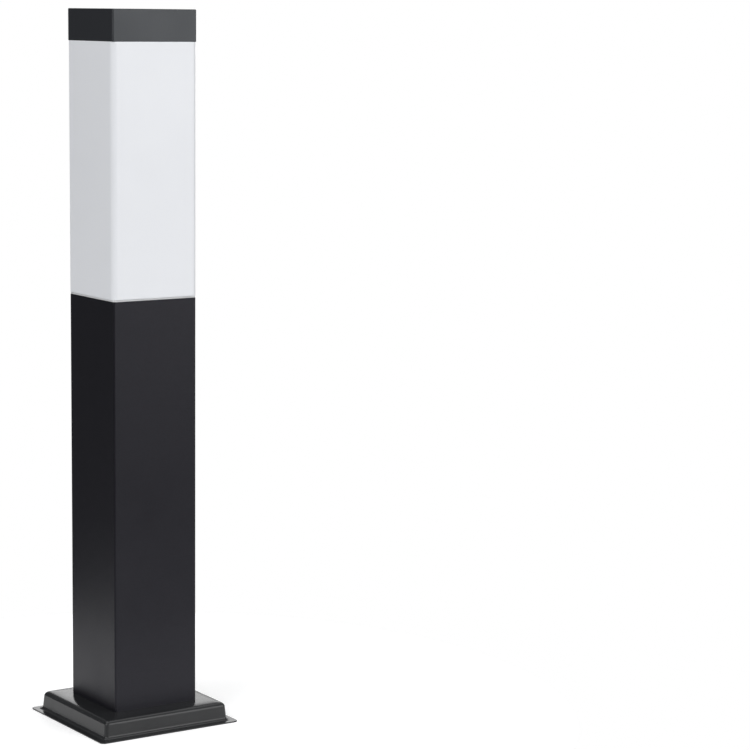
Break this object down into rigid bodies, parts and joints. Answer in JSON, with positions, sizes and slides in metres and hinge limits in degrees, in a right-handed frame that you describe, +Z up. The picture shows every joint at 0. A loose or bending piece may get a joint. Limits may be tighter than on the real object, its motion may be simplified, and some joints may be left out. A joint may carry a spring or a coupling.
{
  "type": "bollard light",
  "caption": "Square garden bollard light: pressed base, black square post, opal box head with a framed cap that lifts off, screw-in lamp inside.",
  "frame": {"origin": "centre of the base, on the ground", "axes": "+Z up the post; -Y and -X are the plain faces, +Y is the service side with the screws"},
  "size_m": [0.131, 0.131, 0.6],
  "materials": {
    "powder_black": "fine textured black powder coat",
    "base_black": "smooth satin black coat",
    "cap_black": "fine textured black powder coat",
    "opal": "opal white acrylic, satin",
    "seal_white": "pale silicone",
    "zinc": "zinc plated sheet",
    "screw_steel": "stainless screws",
    "screw_black": "black coated set screws",
    "rubber_black": "black rubber",
    "terminal_white": "polyamide",
    "brass": "brass",
    "tin": "tinned copper",
    "wire_brown": "wire insulation",
    "wire_blue": "wire insulation",
    "wire_green_yellow": "wire insulation, green with a yellow stripe",
    "porcelain": "glazed white porcelain",
    "nickel": "nickel plated shell",
    "solder": "solder",
    "insulator_black": "black glass",
    "bulb_white": "white plastic",
    "board": "white solder mask with small diodes",
    "bulb_opal": "opal plastic"
  },
  "bodies": {
    "post": {"base_cover": "base_black", "post_tube": "powder_black", "ground_bracket": "zinc", "bracket_screws": "screw_steel", "cable_grommet": "rubber_black", "terminal_block": "terminal_white", "terminal_inserts": "brass", "terminal_screws": "screw_steel", "block_screw": "screw_steel", "earth_screw": "screw_steel", "earth_washer": "screw_steel", "earth_lug": "tin", "live_wire": "wire_brown", "neutral_wire": "wire_blue", "earth_wire": "wire_green_yellow", "lamp_tray": "zinc", "tray_grommet": "rubber_black", "lampholder_body": "porcelain", "lampholder_shell": "brass", "lampholder_contact": "brass", "holder_screws": "screw_steel", "holder_terminals": "brass", "head_screws": "screw_black", "head_nuts": "zinc"},
    "head": {"diffuser_seal": "seal_white", "diffuser": "opal", "cap_frame": "cap_black"},
    "bulb_carrier": {"bulb_contact": "solder"},
    "bulb": {"bulb_insulator": "insulator_black", "bulb_shell": "nickel", "bulb_housing": "bulb_white", "led_board": "board", "bulb_globe": "bulb_opal"}
  },
  "joints": [
    {"name": "head_lift", "type": "slide", "parent": "post", "child": "head", "axis": [0, 0, 1], "range_m": [0, 0.25]},
    {"name": "bulb_rise", "type": "slide", "parent": "post", "child": "bulb_carrier", "axis": [0, 0, 1], "range_m": [0, 0.011]},
    {"name": "bulb_turn", "type": "hinge", "parent": "bulb_carrier", "child": "bulb", "pos_m": [0, 0, 0.44], "axis": [0, 0, 1], "range_deg": [0, 1080]}
  ],
  "couplings": [
    {"joint": "bulb_rise", "follows": "bulb_turn", "m_per_rad": 0.00057757}
  ]
}
